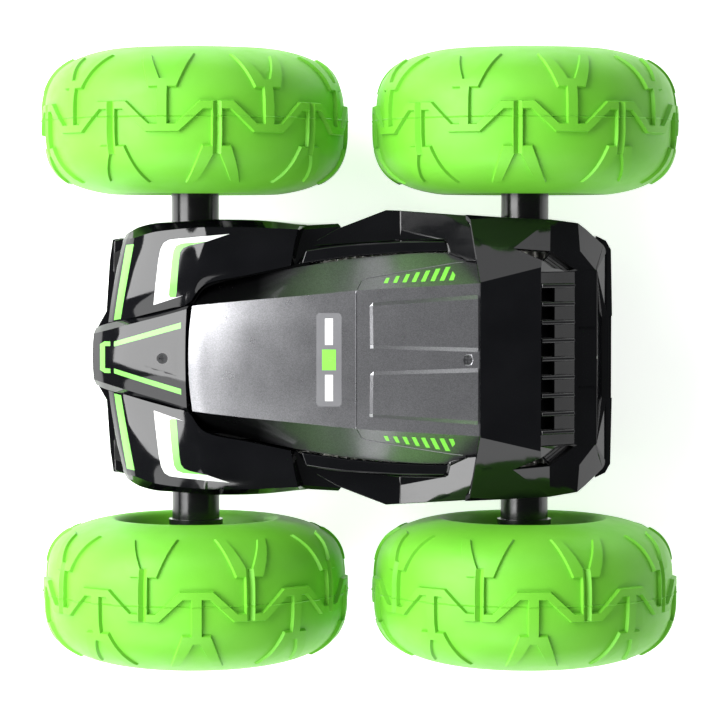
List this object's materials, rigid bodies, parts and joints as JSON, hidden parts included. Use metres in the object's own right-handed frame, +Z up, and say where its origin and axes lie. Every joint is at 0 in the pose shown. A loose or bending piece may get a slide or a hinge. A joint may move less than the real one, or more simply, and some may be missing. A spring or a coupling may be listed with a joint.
{
  "type": "rc stunt car",
  "caption": "Wide flat radio-controlled stunt car with faceted black and silver body shells on large soft green balloon wheels, driven by a gear train on each side.",
  "frame": {"origin": "on the ground, midway between the four wheels", "axes": "+X forward towards the nose, +Y to the car's left, +Z up"},
  "size_m": [0.2274, 0.2184, 0.1094],
  "materials": {
    "black_gloss": "moulded gloss",
    "black_satin": "moulded satin",
    "silver_paint": "metallic silver paint on plastic",
    "green_tyre": "soft lime green vinyl",
    "cap_silver": "silver painted",
    "white_nylon": "natural nylon",
    "shaft_steel": "ground steel",
    "screw_steel": "black zinc plated",
    "brass": "turned",
    "motor_can": "nickel plated",
    "battery_wrap": "heat shrink",
    "board_green": "solder mask",
    "switch_plastic": "moulded",
    "wire_red": "insulation"
  },
  "bodies": {
    "chassis": {"hood": "black_gloss", "canopy": "silver_paint", "rear_cowl": "black_gloss", "rear_grille": "black_gloss", "front_bumper": "black_gloss", "rear_bumper": "black_gloss", "chassis_tub": "black_satin", "battery_pack": "battery_wrap", "circuit_board": "board_green", "switch_housing": "black_satin", "wiring": "wire_red", "shell_screws": "screw_steel", "axle_bushings": "brass", "housing_screws": "screw_steel", "gear_pins": "shaft_steel", "front_fender_left": "black_gloss", "side_pod_left": "black_gloss", "gearbox_plate_left": "black_satin", "axle_housing_front_left": "black_gloss", "axle_housing_rear_left": "black_gloss", "front_fender_right": "black_gloss", "side_pod_right": "black_gloss", "gearbox_plate_right": "black_satin", "axle_housing_front_right": "black_gloss", "axle_housing_rear_right": "black_gloss", "motor_left": "motor_can", "motor_right": "motor_can"},
    "wheel_rear_left": {"tyre_rear_left": "green_tyre", "rim_rear_left": "black_gloss", "hub_cap_rear_left": "cap_silver", "drive_shaft_rear_left": "shaft_steel", "wheel_gear_rear_left": "white_nylon"},
    "wheel_front_left": {"tyre_front_left": "green_tyre", "rim_front_left": "black_gloss", "hub_cap_front_left": "cap_silver", "drive_shaft_front_left": "shaft_steel", "wheel_gear_front_left": "white_nylon"},
    "idler_rear_left": {"idler_rear_left": "white_nylon"},
    "middle_gear_left": {"middle_gear_left": "white_nylon"},
    "idler_front_left": {"idler_front_left": "white_nylon"},
    "motor_rotor_left": {"motor_shaft_left": "shaft_steel", "pinion_left": "brass"},
    "wheel_rear_right": {"tyre_rear_right": "green_tyre", "rim_rear_right": "black_gloss", "hub_cap_rear_right": "cap_silver", "drive_shaft_rear_right": "shaft_steel", "wheel_gear_rear_right": "white_nylon"},
    "wheel_front_right": {"tyre_front_right": "green_tyre", "rim_front_right": "black_gloss", "hub_cap_front_right": "cap_silver", "drive_shaft_front_right": "shaft_steel", "wheel_gear_front_right": "white_nylon"},
    "idler_rear_right": {"idler_rear_right": "white_nylon"},
    "middle_gear_right": {"middle_gear_right": "white_nylon"},
    "idler_front_right": {"idler_front_right": "white_nylon"},
    "motor_rotor_right": {"motor_shaft_right": "shaft_steel", "pinion_right": "brass"},
    "switch_knob": {"switch_knob": "switch_plastic"},
    "battery_door": {"battery_door": "black_satin", "battery_door_screw": "screw_steel"}
  },
  "joints": [
    {"name": "wheel_rear_left_spin", "type": "hinge", "parent": "chassis", "child": "wheel_rear_left", "pos_m": [-0.059, 0, 0.0547], "axis": [0, 1, 0], "continuous": true},
    {"name": "wheel_front_left_spin", "type": "hinge", "parent": "chassis", "child": "wheel_front_left", "pos_m": [0.059, 0, 0.0547], "axis": [0, 1, 0], "continuous": true},
    {"name": "idler_rear_left_spin", "type": "hinge", "parent": "chassis", "child": "idler_rear_left", "pos_m": [-0.0295, 0, 0.0547], "axis": [0, 1, 0], "continuous": true},
    {"name": "middle_gear_left_spin", "type": "hinge", "parent": "chassis", "child": "middle_gear_left", "pos_m": [0, 0, 0.0547], "axis": [0, 1, 0], "continuous": true},
    {"name": "idler_front_left_spin", "type": "hinge", "parent": "chassis", "child": "idler_front_left", "pos_m": [0.0295, 0, 0.0547], "axis": [0, 1, 0], "continuous": true},
    {"name": "motor_rotor_left_spin", "type": "hinge", "parent": "chassis", "child": "motor_rotor_left", "pos_m": [0, 0, 0.0382], "axis": [0, 1, 0], "continuous": true},
    {"name": "wheel_rear_right_spin", "type": "hinge", "parent": "chassis", "child": "wheel_rear_right", "pos_m": [-0.059, 0, 0.0547], "axis": [0, 1, 0], "continuous": true},
    {"name": "wheel_front_right_spin", "type": "hinge", "parent": "chassis", "child": "wheel_front_right", "pos_m": [0.059, 0, 0.0547], "axis": [0, 1, 0], "continuous": true},
    {"name": "idler_rear_right_spin", "type": "hinge", "parent": "chassis", "child": "idler_rear_right", "pos_m": [-0.0295, 0, 0.0547], "axis": [0, 1, 0], "continuous": true},
    {"name": "middle_gear_right_spin", "type": "hinge", "parent": "chassis", "child": "middle_gear_right", "pos_m": [0, 0, 0.0547], "axis": [0, 1, 0], "continuous": true},
    {"name": "idler_front_right_spin", "type": "hinge", "parent": "chassis", "child": "idler_front_right", "pos_m": [0.0295, 0, 0.0547], "axis": [0, 1, 0], "continuous": true},
    {"name": "motor_rotor_right_spin", "type": "hinge", "parent": "chassis", "child": "motor_rotor_right", "pos_m": [0, 0, 0.0382], "axis": [0, 1, 0], "continuous": true},
    {"name": "power_switch", "type": "slide", "parent": "chassis", "child": "switch_knob", "axis": [1, 0, 0], "range_m": [0, 0.003]},
    {"name": "battery_door_tilt", "type": "hinge", "parent": "chassis", "child": "battery_door", "pos_m": [0.0465, 0, 0.0265], "axis": [0, -1, 0], "range_deg": [0, 48]}
  ],
  "couplings": [
    {"joint": "idler_rear_left_spin", "follows": "wheel_rear_left_spin", "ratio": -1.0345},
    {"joint": "middle_gear_left_spin", "follows": "wheel_rear_left_spin", "ratio": 1},
    {"joint": "idler_front_left_spin", "follows": "wheel_rear_left_spin", "ratio": -1.0345},
    {"joint": "wheel_front_left_spin", "follows": "wheel_rear_left_spin", "ratio": 1},
    {"joint": "motor_rotor_left_spin", "follows": "wheel_rear_left_spin", "ratio": -5.6},
    {"joint": "idler_rear_right_spin", "follows": "wheel_rear_right_spin", "ratio": -1.0345},
    {"joint": "middle_gear_right_spin", "follows": "wheel_rear_right_spin", "ratio": 1},
    {"joint": "idler_front_right_spin", "follows": "wheel_rear_right_spin", "ratio": -1.0345},
    {"joint": "wheel_front_right_spin", "follows": "wheel_rear_right_spin", "ratio": 1},
    {"joint": "motor_rotor_right_spin", "follows": "wheel_rear_right_spin", "ratio": -5.6}
  ]
}
